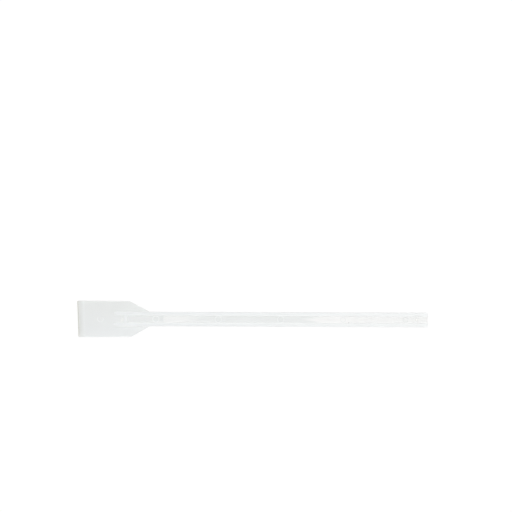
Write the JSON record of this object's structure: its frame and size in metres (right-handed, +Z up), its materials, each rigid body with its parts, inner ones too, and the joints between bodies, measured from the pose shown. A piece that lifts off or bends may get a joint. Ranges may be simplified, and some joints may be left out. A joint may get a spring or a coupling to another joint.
{
  "type": "cell lifter",
  "caption": "One-piece polyethylene cell lifter: a flat bevelled blade on a long H-section handle, for lifting cells off culture dishes.",
  "frame": {"origin": "centre of the lifter's footprint, on the surface that its rails lie on", "axes": "+X from the scraping edge along the handle to its free end, +Y across the blade, +Z up, out of the face that carries the ejector pin marks"},
  "size_m": [0.18, 0.0186, 0.004],
  "materials": {
    "polyethylene": "satin, slightly translucent natural white polyethylene"
  },
  "bodies": {
    "root": {"cell_lifter": "polyethylene"}
  },
  "joints": []
}
